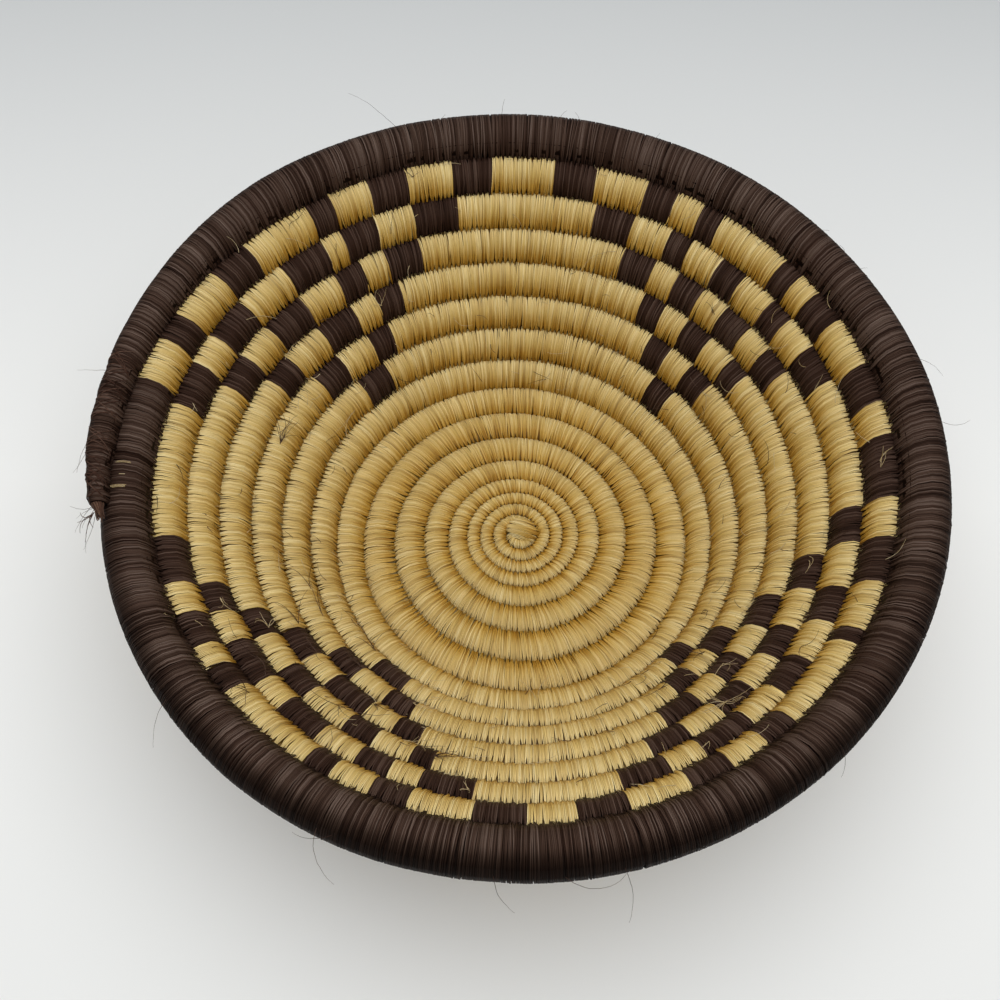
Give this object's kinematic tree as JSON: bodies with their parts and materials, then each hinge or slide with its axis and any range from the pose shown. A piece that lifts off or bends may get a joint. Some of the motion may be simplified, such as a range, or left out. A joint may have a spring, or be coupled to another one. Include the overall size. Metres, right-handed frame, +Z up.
{
  "type": "coiled basket bowl",
  "caption": "Round coiled basket bowl with a flat base and flared wall, wound from a grass bundle wrapped in natural and dark brown raffia with stepped checker triangles.",
  "frame": {"origin": "on the surface the bowl stands on, under the middle of its outline", "axes": "+Z up out of the bowl's mouth, +Y away from the picture's viewer, and the rim's tapered end on the -X side"},
  "size_m": [0.2616, 0.2626, 0.0834],
  "materials": {
    "grass": "dry grass stalks, matt",
    "natural_raffia": "straw-gold raffia, slight sheen along the fibres",
    "brown_raffia": "dark brown dyed raffia, slight sheen along the fibres"
  },
  "bodies": {
    "root": {"foundation_coil": "grass", "start_knot": "natural_raffia", "base_wrap_1": "natural_raffia", "base_wrap_2": "natural_raffia", "base_wrap_3": "natural_raffia", "base_wrap_4": "natural_raffia", "base_wrap_5": "natural_raffia", "base_wrap_6": "natural_raffia", "base_wrap_7": "natural_raffia", "base_wrap_8": "natural_raffia", "row_wrap_1": "natural_raffia", "row_wrap_2": "natural_raffia", "row_wrap_3": "natural_raffia", "row_wrap_4": "natural_raffia", "row_wrap_5": "natural_raffia", "row_wrap_6": "natural_raffia", "brown_strand_1_front_left": "brown_raffia", "brown_strand_1_front_right": "brown_raffia", "brown_strand_1_back_right": "brown_raffia", "brown_strand_1_back_left": "brown_raffia", "brown_strand_2_front_left": "brown_raffia", "brown_strand_2_front_right": "brown_raffia", "brown_strand_2_back_right": "brown_raffia", "brown_strand_2_back_left": "brown_raffia", "brown_strand_3_front_left": "brown_raffia", "brown_strand_3_front_right": "brown_raffia", "brown_strand_3_back_right": "brown_raffia", "brown_strand_3_back_left": "brown_raffia", "brown_strand_4_front_left": "brown_raffia", "brown_strand_4_front_right": "brown_raffia", "brown_strand_4_back_right": "brown_raffia", "brown_strand_4_back_left": "brown_raffia", "brown_strand_5_front_left": "brown_raffia", "brown_strand_5_front_right": "brown_raffia", "brown_strand_5_back_right": "brown_raffia", "brown_strand_5_back_left": "brown_raffia", "brown_strand_6_round": "brown_raffia", "rim_wrap": "brown_raffia"}
  },
  "joints": []
}
